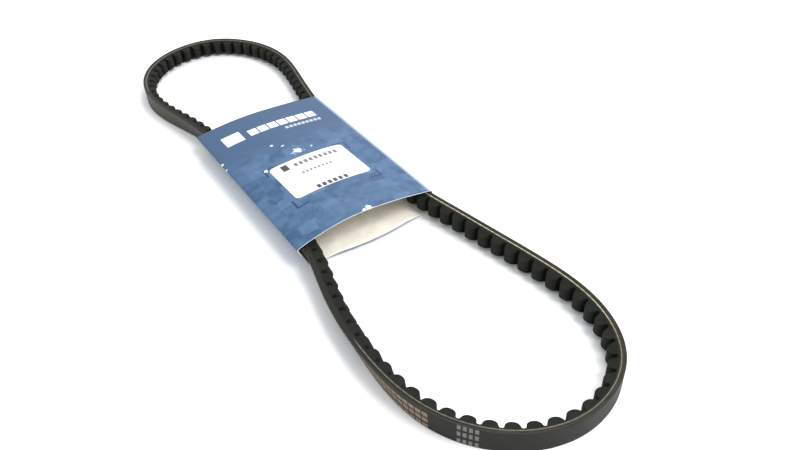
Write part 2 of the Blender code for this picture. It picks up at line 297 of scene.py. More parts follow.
def layer_outline(span, outer_round, inner_round, crown_points):
    """Section of one layer as (depth, height), lower flank to upper flank, rounded corners."""
    top, bottom = span
    foot = [(bottom - inner_round, -half_width(bottom - inner_round)),
            (bottom, -half_width(bottom) + inner_round)]
    turns = np.radians([90.0, 67.5, 45.0, 22.5, 0.0])
    centre = (top + outer_round, -half_width(top + outer_round) + outer_round)
    arc = [(centre[0] - outer_round * math.cos(a), centre[1] - outer_round * math.sin(a))
           for a in turns]
    crown = [(top, h) for h in np.linspace(arc[-1][1], -arc[-1][1], crown_points + 2)[1:-1]]
    upper = [(d, -h) for d, h in arc[::-1]]
    section = arc + crown + upper + [(d, -h) for d, h in foot] + foot[::-1]
    return np.array(section)[::-1]


def build_layer(name, span, outer_round, crown_points, material, replaced):
    outline = layer_outline(span, outer_round, LAYER_CHAMFER, crown_points)
    place, along = even_stations(LAYER_STATIONS)
    depth = np.broadcast_to(outline[:, 0], (len(place), len(outline)))
    height = np.broadcast_to(outline[:, 1], (len(place), len(outline)))
    points = belt_points(place, depth, height)
    mesh = ring_mesh(name, points, along, depth, height)
    return add_piece(name, mesh, [material], "belt", [replaced])


def cog_profile():
    """Depth of the undercord over one pitch, as (fraction of the pitch, depth)."""
    fine = COG_SMOOTHING_SAMPLES
    x = (np.arange(fine) + 0.5) / fine
    across = np.clip(np.abs(x - 0.5) / (0.5 * COG_FILL), 0.0, 1.0)
    rise = (1.0 - across**COG_ROUNDNESS) ** (1.0 / COG_ROUNDNESS)
    window = np.exp(-0.5 * ((np.arange(fine) - fine / 2) / (COG_FILLET * fine / 2)) ** 2)
    window /= window.sum()
    spectrum = np.fft.rfft(rise) * np.fft.rfft(np.roll(window, -fine // 2))
    rise = np.clip(np.fft.irfft(spectrum, fine), 0.0, None)
    rise /= rise.max()
    pitch = distance_along(CORD_DEPTH)[-1] / COG_COUNT
    tall = THICKNESS - COG_ROOT_DEPTH
    length = np.hypot(np.diff(x) * pitch, np.diff(rise) * tall)
    path = np.concatenate([[0.0], np.cumsum(length)])
    wanted = (np.arange(COG_PROFILE_POINTS) + 0.5) / COG_PROFILE_POINTS * path[-1]
    return np.interp(wanted, path, x), COG_ROOT_DEPTH + tall * np.interp(wanted, path, rise)


def build_undercord(material):
    fraction, profile = cog_profile()
    total = distance_along(CORD_DEPTH)[-1]
    cogs = np.arange(COG_COUNT)[:, None]
    distance = ((cogs + fraction[None, :]) * total / COG_COUNT + COG_OFFSET).ravel() % total
    bottom = np.tile(profile, COG_COUNT)
    order = np.argsort(distance)
    distance, bottom = distance[order], bottom[order]
    place = places_by_distance(distance, CORD_DEPTH)
    back = np.interp(place, np.arange(LINE_SAMPLES + 1), distance_along(0.0))
    r = COG_EDGE_ROUND
    inside = half_width(bottom - r) - r
    under_edge = half_width(bottom) - r - math.tan(FLANK_ANGLE) * r
    rows_d, rows_h = [], []

    def put(depth, height):
        rows_d.append(depth)
        rows_h.append(height)

    top = np.full_like(bottom, UNDERCORD_TOP)
    put(top, -half_width(top))
    put((top + bottom - r) / 2.0, -half_width((top + bottom - r) / 2.0))
    for turn in np.radians([0.0, 30.0, 60.0, 90.0]):
        put(bottom - r + r * np.sin(turn), -(inside + r * np.cos(turn)))
    for share in (-0.6, -0.2, 0.2, 0.6):
        put(bottom, share * under_edge)
    for turn in np.radians([90.0, 60.0, 30.0, 0.0]):
        put(bottom - r + r * np.sin(turn), inside + r * np.cos(turn))
    put((top + bottom - r) / 2.0, half_width((top + bottom - r) / 2.0))
    put(top, half_width(top))
    depth, height = np.stack(rows_d, axis=1), np.stack(rows_h, axis=1)
    points = belt_points(place, depth, height)
    mesh = ring_mesh("cogged_undercord", points, back, depth, height, sharp_degrees=55.0)
    return add_piece("cogged_undercord", mesh, [material], "belt",
                     ["belt_cogged_undercord"])


def build_cord(turn, material):
    """One turn of the cord; the two outermost turns lie in the flanks and show their twist."""
    outermost = turn in (0, CORD_TURNS - 1)
    middle = (turn - (CORD_TURNS - 1) / 2.0) * CORD_SPACING
    if outermost:
        sunk = half_width(CORD_DEPTH) - CORD_SUNK_SHARE * FINE_CORD_RADIUS
        middle = math.copysign(sunk, middle)
    place, along = even_stations(OUTER_CORD_STATIONS if outermost else INNER_CORD_STATIONS)
    sides = OUTER_CORD_SIDES if outermost else INNER_CORD_SIDES
    twist_depth = CORD_TWIST_DEPTH if outermost else 0.0
    around = np.arange(sides) / sides * 2.0 * math.pi
    twists = round(OUTSIDE_LENGTH / CORD_TWIST_PITCH)
    phase = 2.0 * math.pi * twists * along / distance_along(0.0)[-1]
    swell = twist_depth * np.cos(CORD_STRANDS * around[None, :] - phase[:, None])
    radius = FINE_CORD_RADIUS + swell
    depth = CORD_DEPTH - radius * np.cos(around)[None, :]
    height = middle - radius * np.sin(around)[None, :]
    points = belt_points(place, depth, height)
    number = f"{turn + 1:02d}"
    name = f"cord_turn_{number}"
    mesh = ring_mesh(name, points, along, depth, height, sharp_degrees=80.0)
    return add_piece(name, mesh, [material], "belt", [f"tension_cord_turn_{number}"])


# ---------------------------------------------------------------- sleeve

def between(pair, t):
    return pair[0] + (pair[1] - pair[0]) * t


def sleeve_fraction(y):
    return (y - SLEEVE_CENTRE_Y) / SLEEVE_LENGTH + 0.5


def arch_height(x, y):
    """Height of the top panel's middle surface, with the slight waviness of thin card."""
    t = sleeve_fraction(y)
    left, right = between(CREASE_LEFT_X, t), between(CREASE_RIGHT_X, t)
    s = np.clip((x - left) / (right - left), 0.0, 1.0)
    base = CREASE_LEFT_Z + (CREASE_RIGHT_Z - CREASE_LEFT_Z) * s
    rise = between(ARCH_RISE, t) * np.sin(math.pi * s**ARCH_SKEW)
    edge = np.sin(math.pi * s)
    first_x, first_y, second_y, second_x = CARD_WAVE_LENGTHS
    wave = CARD_WAVE * edge * (np.sin(x / first_x + y / first_y)
                               + CARD_SECOND_WAVE * np.sin(y / second_y - x / second_x))
    return base + rise + wave


def rounded_turn(before, corner, after, radius, steps):
    """Points of a round bend that replaces a sharp corner of the card's section."""
    before, corner, after = (np.array(p) for p in (before, corner, after))
    a = (before - corner) / np.linalg.norm(before - corner)
    b = (after - corner) / np.linalg.norm(after - corner)
    start, end = corner + a * radius, corner + b * radius
    t = np.linspace(0.0, 1.0, steps + 1)[:, None]
    return (1 - t) ** 2 * start + 2 * t * (1 - t) * corner + t**2 * end


def foot_arc(x, side, turn, floor):
    centre = x - side * FOOT_RADIUS * math.sin(turn)
    angle = turn * np.arange(FOOT_STEPS + 1) / FOOT_STEPS
    return np.stack([centre + side * FOOT_RADIUS * np.sin(angle),
                     floor + FOOT_RADIUS * (1.0 - np.cos(angle))], axis=1)


def right_wall_x(t, z):
    """Where the right wall's middle surface is at a height."""
    foot = between(FOOT_RIGHT_X, t)
    return foot + (between(CREASE_RIGHT_X, t) - foot) * z / CREASE_RIGHT_Z


def flap_height(t):
    from_end = min(t, 1.0 - t) * SLEEVE_LENGTH
    return FLAP_END_Z + (FLAP_TOP_Z - FLAP_END_Z) * min(from_end / FLAP_TAPER, 1.0)


def lip_share(x, y):
    """1 at the near edge of the bottom panel between the belt's strands, 0 away from it."""
    near_end = SLEEVE_CENTRE_Y - SLEEVE_LENGTH / 2.0
    between_strands = (smooth(x, LIP_X[0] - LIP_SIDE, LIP_X[0] + LIP_SIDE)
                       * smooth(x, LIP_X[1] + LIP_SIDE, LIP_X[1] - LIP_SIDE))
    return smooth(y, near_end + LIP_REACH, near_end) * between_strands


def lip_bow(x, y, panel):
    """How far the bottom panel's near edge bulges out of the sleeve."""
    middle, half = sum(LIP_X) / 2.0, (LIP_X[1] - LIP_X[0]) / 2.0 + LIP_SIDE
    near_end = SLEEVE_CENTRE_Y - SLEEVE_LENGTH / 2.0
    curve = np.clip(1.0 - ((x - middle) / half) ** 2, 0.0, 1.0)
    return LIP_BOW * smooth(y, near_end + LIP_REACH, near_end) * curve * (panel == 0)


def straight(start, end, steps):
    """Points from start towards end, without the last one."""
    t = np.arange(steps)[:, None] / steps
    return (1.0 - t) * np.array(start) + t * np.array(end)


def card_section(y):
    """Middle line of the card across the sleeve as (x, z), with each point's panel number."""
    t = sleeve_fraction(y)
    floor = CARD_THICKNESS / 2.0
    left, right = between(CREASE_LEFT_X, t), between(CREASE_RIGHT_X, t)
    top = flap_height(t)
    flap_edge = (right_wall_x(t, top) + FLAP_OFFSET, top)
    foot_left = foot_arc(between(FOOT_LEFT_X, t), -1, FOOT_LEFT_TURN, floor)
    foot_right = foot_arc(between(FOOT_RIGHT_X, t) + FLAP_OFFSET, 1, FOOT_RIGHT_TURN, floor)[::-1]
    bottom = straight(foot_right[-1], foot_left[0], FLOOR_STEPS)
    bottom[:, 1] += LIP_RISE * lip_share(bottom[:, 0], y)
    reach = 3.0 * CREASE_ROUND
    arch_x = np.linspace(left + reach, right - reach, ARCH_STEPS + 1)
    arch = np.stack([arch_x, arch_height(arch_x, y)], axis=1)
    wall_end = (right_wall_x(t, WALL_END_Z), WALL_END_Z)
    turn_left = rounded_turn(foot_left[-1], (left, CREASE_LEFT_Z), arch[0],
                             CREASE_ROUND, LEFT_CREASE_STEPS)
    turn_right = rounded_turn(arch[-1], (right, CREASE_RIGHT_Z), wall_end,
                              2.0 * CREASE_ROUND, RIGHT_CREASE_STEPS)
    parts = [
        (4, straight(flap_edge, foot_right[0], WALL_STEPS)),
        (4, foot_right[:-1]),
        (0, bottom),
        (0, foot_left[:-1]),
        (1, straight(foot_left[-1], turn_left[0], WALL_STEPS)),
        (2, turn_left[:-1]),
        (2, arch),
        (2, turn_right[1:]),
        (3, straight(turn_right[-1], wall_end, WALL_STEPS)[1:]),
        (3, np.array([wall_end])),
    ]
    points = np.concatenate([part for _, part in parts])
    panel = np.concatenate([np.full(len(part), float(number)) for number, part in parts])
    return points, panel


def sheet_mesh(name, rows):
    """A smooth open sheet of quads through rows of points."""
    count, width = rows.shape[:2]
    i, k = np.meshgrid(np.arange(count - 1), np.arange(width - 1), indexing="ij")
    a = i * width + k
    faces = np.stack([a, a + 1, a + width + 1, a + width], -1).reshape(-1, 4)
    mesh = bpy.data.meshes.new(name)
    mesh.from_pydata(rows.reshape(-1, 3).tolist(), [], faces.tolist())
    mesh.shade_smooth()
    return mesh


def thicken(piece, thickness, offset):
    """Gives a sheet its thickness, to both sides at offset 0 or outwards at offset 1."""
    shell = piece.modifiers.new("thickness", "SOLIDIFY")
    shell.thickness = thickness
    shell.offset = offset
    return shell


def build_card(materials):
    ys = SLEEVE_CENTRE_Y + SLEEVE_LENGTH * (np.arange(SLEEVE_ROWS + 1) / SLEEVE_ROWS - 0.5)
    rows, marks = [], []
    for y in ys:
        points, panel = card_section(y)
        step = np.linalg.norm(np.diff(points, axis=0), axis=1)
        path = np.concatenate([[0.0], np.cumsum(step)])
        x, z = points.T
        rows.append(np.column_stack([x, y - lip_bow(x, y, panel), z]))
        marks.append(np.column_stack([path, np.full(len(points), y), panel]))
    mesh = sheet_mesh("card_sleeve", np.array(rows))
    place = mesh.attributes.new("sheet_place", "FLOAT_VECTOR", "POINT")
    place.data.foreach_set("vector", np.array(marks).astype(np.float32).ravel())
    piece = add_piece("card_sleeve", mesh, materials, "sleeve", ["sleeve_card"])
    shell = thicken(piece, CARD_THICKNESS, 0.0)
    shell.use_even_offset = True
    shell.material_offset = 1
    shell.material_offset_rim = 2
    return piece


def build_label(material):
    """A thin paper label with rounded corners that follows the top panel."""
    half_x, half_y = LABEL_SIZE[0] / 2.0, LABEL_SIZE[1] / 2.0
    turns = np.radians(np.linspace(0.0, LABEL_CORNER_TURN, LABEL_CORNER_STEPS))
    corner = half_x - LABEL_CORNER + LABEL_CORNER * np.sin(turns[1:])
    flat = np.linspace(-(half_x - LABEL_CORNER), half_x - LABEL_CORNER, LABEL_COLUMNS)
    xs = np.concatenate([-corner[::-1], flat, corner])
    inside = np.clip(np.abs(xs) - (half_x - LABEL_CORNER), 0.0, None)
    reach = half_y - (LABEL_CORNER - np.sqrt(np.clip(LABEL_CORNER**2 - inside**2, 0.0, None)))
    shares = np.linspace(-1.0, 1.0, LABEL_ROWS)
    x = np.broadcast_to(LABEL_CENTRE[0] + xs, (len(shares), len(xs)))
    y = LABEL_CENTRE[1] + shares[:, None] * reach[None, :]
    z = arch_height(x, y) + CARD_THICKNESS / 2.0 + LABEL_GAP
    mesh = sheet_mesh("paper_label", np.stack([x, y, z], -1))
    piece = add_piece("paper_label", mesh, [material], "sleeve", ["sleeve_label"])
    thicken(piece, LABEL_THICKNESS, 1.0)
    return piece


# ---------------------------------------------------------------- materials

class Paint:
    """Short names for building the node tree of one material."""

    def __init__(self, name, roughness, specular=0.5):
        self.material = bpy.data.materials.new(name)
        self.material.use_nodes = True
        self.tree = self.material.node_tree
        self.shader = self.tree.nodes["Principled BSDF"]
        self.shader.inputs["Roughness"].default_value = roughness
        self.shader.inputs["Specular IOR Level"].default_value = specular

    def node(self, kind, inputs=(), **settings):
        made = self.tree.nodes.new(kind)
        for key, value in settings.items():
            setattr(made, key, value)
        for key, value in dict(inputs).items():
            self.feed(made.inputs[key], value)
        return made

    def feed(self, socket, value):
        if isinstance(value, bpy.types.NodeSocket):
            self.tree.links.new(value, socket)
        elif isinstance(value, tuple) and socket.type == "RGBA":
            socket.default_value = (*value[:3], 1.0)
        else:
            socket.default_value = value

    def math(self, operation, a, b=0.0, c=0.0):
        made = self.node("ShaderNodeMath", {0: a, 1: b, 2: c}, operation=operation)
        return made.outputs[0]

    def place(self, attribute):
        """The three parts of a stored place."""
        made = self.node("ShaderNodeAttribute", attribute_name=attribute)
        parts = self.node("ShaderNodeSeparateXYZ", {0: made.outputs["Vector"]})
        return parts.outputs[0], parts.outputs[1], parts.outputs[2]

    def solid(self):
        return self.node("ShaderNodeTexCoord").outputs["Object"]

    def split(self, vector):
        parts = self.node("ShaderNodeSeparateXYZ", {0: vector})
        return parts.outputs[0], parts.outputs[1], parts.outputs[2]

    def join(self, x, y, z=0.0):
        return self.node("ShaderNodeCombineXYZ", {0: x, 1: y, 2: z}).outputs[0]

    def noise(self, vector, per_metre, detail=3.0, roughness=0.5, distortion=0.0):
        made = self.node("ShaderNodeTexNoise", {
            "Vector": vector, "Scale": per_metre, "Detail": detail,
            "Roughness": roughness, "Distortion": distortion})
        return made.outputs[0]

    def voronoi(self, vector, per_metre, output="Distance", distance="EUCLIDEAN", scatter=1.0):
        made = self.node("ShaderNodeTexVoronoi",
                         {"Vector": vector, "Scale": per_metre, "Randomness": scatter},
                         distance=distance)
        return made.outputs[output]

    def step(self, value, low, high):
        """0 below low and 1 above high, smooth between; low may be the larger one."""
        made = self.node("ShaderNodeMapRange",
                         {"Value": value, "From Min": low, "From Max": high},
                         interpolation_type="SMOOTHSTEP", clamp=True)
        return made.outputs[0]

    def spread(self, value, low, high, to_low, to_high):
        made = self.node("ShaderNodeMapRange", {
            "Value": value, "From Min": low, "From Max": high,
            "To Min": to_low, "To Max": to_high}, clamp=True)
        return made.outputs[0]

    def mix(self, share, a, b):
        made = self.node("ShaderNodeMix", data_type="RGBA")
        self.feed(made.inputs[0], share)
        self.feed(made.inputs[6], a)
        self.feed(made.inputs[7], b)
        return made.outputs[2]

    def both(self, *masks):
        made = masks[0]
        for mask in masks[1:]:
            made = self.math("MULTIPLY", made, mask)
        return made

    def either(self, *masks):
        made = masks[0]
        for mask in masks[1:]:
            made = self.math("MAXIMUM", made, mask)
        return made

    def band(self, value, low, high, soft):
        """1 between low and high, with soft edges."""
        return self.both(self.step(value, low - soft, low + soft),
                         self.step(value, high + soft, high - soft))

    def box(self, x, y, spot, soft):
        """1 in the box (x low, y low, x high, y high)."""
        return self.both(self.band(x, spot[0], spot[2], soft),
                         self.band(y, spot[1], spot[3], soft))

    def share(self, value, factor):
        return self.math("MULTIPLY", value, factor)

    def blend(self, a, a_share, b, b_share):
        """A weighted sum of two values."""
        return self.math("ADD", self.share(a, a_share), self.share(b, b_share))

    def blocks(self, value, start, end, count, fill, soft):
        """A row of equal blocks between start and end."""
        pitch = (end - start) / count
        turns = self.math("DIVIDE", self.math("SUBTRACT", value, start), pitch)
        inside = self.math("FRACT", turns)
        return self.band(inside, (1.0 - fill) / 2.0, (1.0 + fill) / 2.0, soft / pitch)

    def bump(self, height, distance, strength=1.0, under=None):
        inputs = {"Height": height, "Distance": distance, "Strength": strength}
        made = self.node("ShaderNodeBump", inputs)
        if under is not None:
            self.feed(made.inputs["Normal"], under)
        return made.outputs[0]

    def finish(self, colour, roughness=None, normal=None):
        self.feed(self.shader.inputs["Base Color"], colour)
        if roughness is not None:
            self.feed(self.shader.inputs["Roughness"], roughness)
        if normal is not None:
            self.feed(self.shader.inputs["Normal"], normal)
        return self.material


def tint(colour, factor):
    return tuple(value * factor for value in colour)


def millimetres(spot):
    return tuple(value * MM for value in spot)


# The middle range of a noise, where nearly all of its values lie
NOISE_RANGE = (0.3, 0.7)

# Belt colours, linear reflectances
BACK_DARK = (0.0105, 0.0115, 0.0090)
BACK_LIGHT = (0.021, 0.022, 0.0175)
BACK_EDGE = (0.046, 0.043, 0.034)
# Lighter back colour used as a painted sheen on the far-left strand
BACK_SHEEN = (0.062, 0.058, 0.049)
FLANK_DARK = (0.021, 0.019, 0.015)
FLANK_LIGHT = (0.044, 0.039, 0.030)
RUBBER_DARK = (0.006, 0.0072, 0.0052)
RUBBER_LIGHT = (0.014, 0.0155, 0.0122)
# Darker flank colour used along part of the left strand
FLANK_DIMMED = (0.013, 0.0135, 0.0105)
# Near-black colour used as painted shade in the notches
NOTCH_SHADE = (0.0022, 0.0024, 0.0020)
FIBRE = (0.12, 0.11, 0.09)
CORD_LIGHT = (0.55, 0.50, 0.38)
CORD_DARK = (0.30, 0.26, 0.18)
CORD_DIMMED = (0.11, 0.10, 0.075)
INK_GREY = (0.175, 0.175, 0.160)
INK_TAN = (0.235, 0.165, 0.118)

# Parts of the belt that look different, as distances from the near tip, and their soft ends
CORD_COVERED = (612.0 * MM, 921.0 * MM, 4.0 * MM)
# Stretch on the right where the cord keeps its full brightness; it is dimmer everywhere else
CORD_BRIGHT_SPAN = (60.0 * MM, 330.0 * MM, 20.0 * MM)
# Stretch of the far-left strand whose back gets a painted sheen
PAINTED_SHEEN_STRAND = (585.0 * MM, 720.0 * MM, 25.0 * MM)
# Stretch of the left strand where the flank is made darker
DIMMED_FLANK_STRAND = (640.0 * MM, 1000.0 * MM, 15.0 * MM)

# Printing on the belt's back, as distances from the near tip and heights
GREY_PRINT = (986.5 * MM, 997.0 * MM)
GREY_ROWS = ((3.0 * MM, 5.8 * MM), (-1.4 * MM, 1.4 * MM), (-5.9 * MM, -3.2 * MM))
TAN_PRINT = (927.0 * MM, 973.5 * MM)
TAN_ROWS = ((1.6 * MM, 4.2 * MM), (-2.2 * MM, 0.4 * MM), (-5.8 * MM, -3.6 * MM))
PRINT_END_SOFT = 0.1 * MM
WEAVE_PITCH = 0.62 * MM


def back_cover_material():
    """Rubbered cloth: a faint diagonal weave under rubber, rubbed edges, blocks of old ink, and a
    painted sheen along the far-left strand.
    """
    paint = Paint("back_cover_cloth", 0.55, 0.13)
    along, height, depth = paint.place("belt_place")
    solid = paint.solid()
    total = distance_along(0.0)[-1]
    turns = round(total / (WEAVE_PITCH * math.sqrt(2.0)))
    a = paint.share(along, 2.0 * math.pi * turns / total)
    b = paint.share(height, 2.0 * math.pi * turns / total)
    warp = paint.math("SINE", paint.math("ADD", a, b))
    weft = paint.math("SINE", paint.math("SUBTRACT", a, b))
    weave = paint.either(warp, weft)
    cloud = paint.noise(solid, 55.0, 5.0, 0.6)
    grain = paint.noise(solid, 1800.0, 3.0, 0.6)
    streak = paint.noise(paint.join(height, depth, paint.share(along, 0.06)), 900.0, 3.0, 0.6)
    tone = paint.blend(cloud, 0.6, grain, 0.4)
    colour = paint.mix(paint.step(tone, 0.32, 0.68), BACK_DARK, BACK_LIGHT)
    flank = paint.step(depth, 0.10 * MM, 0.34 * MM)
    edge = paint.step(paint.math("ABSOLUTE", height),
                      half_width(0.0) - 0.75 * MM, half_width(0.0) - 0.25 * MM)
    retone_share = paint.both(edge, paint.step(cloud, 0.30, 0.62))
    colour = paint.mix(retone_share, colour, BACK_EDGE)
    # Painted sheen: the back is lightened along the far-left strand
    painted_sheen = paint.both(paint.band(along, *PAINTED_SHEEN_STRAND), paint.step(tone, 0.25, 0.55), 0.75)
    colour = paint.mix(painted_sheen, colour, BACK_SHEEN)
    colour = paint.mix(flank, colour, paint.mix(streak, FLANK_DARK, FLANK_LIGHT))
    front = paint.step(depth, 0.12 * MM, 0.05 * MM)
    worn = paint.step(paint.noise(solid, 4200.0, 2.0, 0.6), 0.26, 0.50)
    grey_rows = paint.either(*[paint.band(height, *row, 0.12 * MM) for row in GREY_ROWS])
    grey = paint.both(paint.band(along, *GREY_PRINT, PRINT_END_SOFT), grey_rows,
                      paint.blocks(along, *GREY_PRINT, 4, 0.62, 0.16 * MM), worn, front)
    tan_rows = paint.either(*[paint.band(height, *row, 0.15 * MM) for row in TAN_ROWS])
    tan = paint.both(paint.band(along, *TAN_PRINT, PRINT_END_SOFT), tan_rows,
                     paint.blocks(along, *TAN_PRINT, 13, 0.84, 0.20 * MM), worn, front)
    colour = paint.mix(grey, colour, INK_GREY)
    colour = paint.mix(tan, colour, INK_TAN)
    roughness = paint.spread(cloud, *NOISE_RANGE, 0.42, 0.60)
    normal = paint.bump(weave, 0.012 * MM, 0.8)
    normal = paint.bump(grain, 0.03 * MM, 0.5, normal)
    return paint.finish(colour, roughness, normal)


def flank_material(name, dark, light, fibre_share):
    """Cut rubber: grinding streaks along the belt and the cut ends of short fibres."""
    paint = Paint(name, 0.75, 0.18)
    along, height, depth = paint.place("belt_place")
    solid = paint.solid()
    streak = paint.noise(paint.join(height, paint.share(along, 0.05), depth), 2600.0, 3.0, 0.65)
    cloud = paint.noise(solid, 90.0, 4.0, 0.6)
    grain = paint.noise(solid, 3200.0, 3.0, 0.7)
    tone = paint.blend(streak, 0.55, cloud, 0.45)
    colour = paint.mix(paint.step(tone, 0.36, 0.66), dark, light)
    # The flank is made darker along one stretch of the left strand
    retone_share = paint.share(paint.band(along, *DIMMED_FLANK_STRAND), 0.8)
    colour = paint.mix(retone_share, colour, FLANK_DIMMED)
    dots = paint.voronoi(solid, 1500.0)
    fibre = paint.both(paint.step(dots, 0.22, 0.10), paint.step(grain, 0.46, 0.56), fibre_share)
    colour = paint.mix(fibre, colour, FIBRE)
    roughness = paint.spread(grain, *NOISE_RANGE, 0.62, 0.88)
    normal = paint.bump(streak, 0.05 * MM, 0.5)
    normal = paint.bump(grain, 0.05 * MM, 0.6, normal)
    return paint.finish(colour, roughness, normal)


def undercord_material():
    """Moulded cogs with a fine cloth-like skin, cut flanks with fibre ends, and painted shade on
    the notch floors.
    """
    paint = Paint("undercord_rubber", 0.8, 0.14)
    along, height, depth = paint.place("belt_place")
    solid = paint.solid()
    cloud = paint.noise(solid, 140.0, 4.0, 0.6)
    grain = paint.noise(solid, 2600.0, 3.0, 0.7)
    ribs = paint.noise(paint.join(paint.share(height, 0.12), along, depth), 2200.0, 2.0, 0.6)
    tone = paint.blend(cloud, 0.5, ribs, 0.5)
    colour = paint.mix(paint.step(tone, 0.34, 0.68), RUBBER_DARK, RUBBER_LIGHT)
    worn = paint.step(depth, THICKNESS - 1.0 * MM, THICKNESS)
    colour = paint.mix(paint.share(worn, 0.35), colour, BACK_LIGHT)
    dots = paint.voronoi(solid, 1400.0)
    fibre = paint.both(paint.step(dots, 0.20, 0.08), paint.step(grain, 0.50, 0.58), 0.45)
    colour = paint.mix(fibre, colour, FIBRE)
    # Painted shade: the notch floors between cogs are darkened towards black, away from the
    # flanks
    reach = paint.math("ADD", paint.share(depth, -math.tan(FLANK_ANGLE)), half_width(0.0))
    inner = paint.math("SUBTRACT", reach, paint.math("ABSOLUTE", height))
    notch_shade = paint.both(paint.step(inner, 0.05 * MM, 0.7 * MM),
                       paint.step(depth, 6.6 * MM, 4.6 * MM), 0.9)
    colour = paint.mix(notch_shade, colour, NOTCH_SHADE)
    roughness = paint.spread(grain, *NOISE_RANGE, 0.68, 0.92)
    normal = paint.bump(ribs, 0.08 * MM, 0.5)
    normal = paint.bump(grain, 0.06 * MM, 0.6, normal)
    return paint.finish(colour, roughness, normal)


def cord_material():
    """Twisted yarn, dirty in places, dimmer everywhere but one stretch on the right, and smeared
    with rubber along part of the left strand.
    """
    paint = Paint("cord_yarn", 0.85, 0.2)
    along, height, depth = paint.place("belt_place")
    solid = paint.solid()
    dirt = paint.noise(solid, 60.0, 4.0, 0.65)
    twisted = paint.math("ADD", height, paint.share(along, 0.35))
    yarn = paint.noise(paint.join(twisted, depth, paint.share(along, 0.1)), 5200.0, 2.0, 0.6)
    tone = paint.blend(dirt, 0.6, yarn, 0.4)
    colour = paint.mix(paint.step(tone, 0.30, 0.56), CORD_DARK, CORD_LIGHT)
    smeared = paint.band(along, *CORD_COVERED)
    clean = paint.band(along, *CORD_BRIGHT_SPAN)
    # The cord is darkened everywhere outside the bright stretch
    dim = paint.share(paint.math("SUBTRACT", 1.0, clean), 0.84)
    colour = paint.mix(dim, colour, CORD_DIMMED)
    colour = paint.mix(smeared, colour, FLANK_DARK)
    return paint.finish(colour, None, paint.bump(yarn, 0.05 * MM, 0.6))


# Sleeve colours, linear reflectances
SLATE = (0.053, 0.092, 0.168)
BLUE = (0.060, 0.114, 0.210)
BLUE_PALE = (0.096, 0.166, 0.275)
BLUE_DEEP = (0.046, 0.088, 0.170)
INK_WHITE = (0.78, 0.82, 0.86)
NAVY = (0.028, 0.037, 0.105)
PAPER = (0.80, 0.80, 0.78)
CREAM = (0.78, 0.75, 0.68)
FLECK = (0.40, 0.34, 0.26)
# Pale colour used as a painted sheen along the right crease
CREASE_SHEEN = (0.60, 0.68, 0.77)
LABEL_WHITE = (0.82, 0.83, 0.83)
LABEL_INK = (0.035, 0.035, 0.040)
GLUE_DARK = (0.58, 0.51, 0.36)
GLUE_LIGHT = (0.72, 0.66, 0.50)

# The painted sheen strip along the right crease, and how much it leans with y
CREASE_SHEEN_X = (39.4 * MM, 43.6 * MM)
CREASE_SHEEN_SLANT = -0.020

# Printing on the top panel in millimetres: (x low, y low, x high, y high)
EMBLEM = (-36.6, 52.0, -23.8, 64.2)
WORD_BAR = (-19.6, 53.0, 30.2, 60.6)
SUB_BAR = (3.0, 46.4, 30.2, 49.4)
LABEL_EMBLEM = (-22.0, 0.2, -17.6, 6.8)
LABEL_WORD = (-14.4, 0.6, 16.4, 4.6)
LABEL_LINE = (-14.4, -9.2, 7.2, -6.6)
LABEL_NUMBER = (-14.4, -28.4, 7.4, -24.6)
BRACKETS = (
    (-31.8, 10.9, 1, -1), (25.9, 10.7, -1, -1), (25.3, -36.4, -1, 1), (-32.4, -36.5, 1, 1),
)
BRACKET_ARM = 8.4
BRACKET_WIDTH = 1.2
PRINT_SOFT = 0.2 * MM
FINE_PRINT_SOFT = 0.15 * MM

# The pattern fades out over this part of the top panel
PATTERN_END_Y = (14.0 * MM, 44.0 * MM)


def bracket_mask(paint, x, y):
    """Four thin corner marks round the label."""
    masks = []
    for cx, cy, to_x, to_y in BRACKETS:
        for size_x, size_y in ((BRACKET_ARM, BRACKET_WIDTH), (BRACKET_WIDTH, BRACKET_ARM)):
            low_x, high_x = sorted((cx, cx + to_x * size_x))
            low_y, high_y = sorted((cy, cy + to_y * size_y))
            spot = millimetres((low_x, low_y, high_x, high_y))
            masks.append(paint.box(x, y, spot, PRINT_SOFT))
    return paint.either(*masks)


def tone_pattern(paint, x, y):
    """Faint tone-on-tone boxes and curves printed over the near part of the card."""
    flat = paint.join(x, y)
    wobble = paint.noise(flat, 40.0, 2.0)
    cells = paint.voronoi(flat, 105.0, "Color", "CHEBYCHEV", 0.45)
    small = paint.voronoi(flat, 260.0, "Color", "CHEBYCHEV", 0.35)
    ring = paint.math("SINE", paint.share(paint.voronoi(flat, 38.0), 22.0))
    shade = paint.blend(paint.split(cells)[0], 0.42, paint.split(small)[1], 0.22)
    shade = paint.math("ADD", shade, paint.share(paint.step(ring, 0.70, 0.90), 0.09))
    return paint.math("ADD", shade, paint.share(wobble, 0.30))


def block_row(paint, x, y, bar, count, fill, soft):
    """A row of blocks in the box bar, which is in millimetres."""
    return paint.both(paint.box(x, y, millimetres(bar), soft),
                      paint.blocks(x, bar[0] * MM, bar[2] * MM, count, fill, soft))


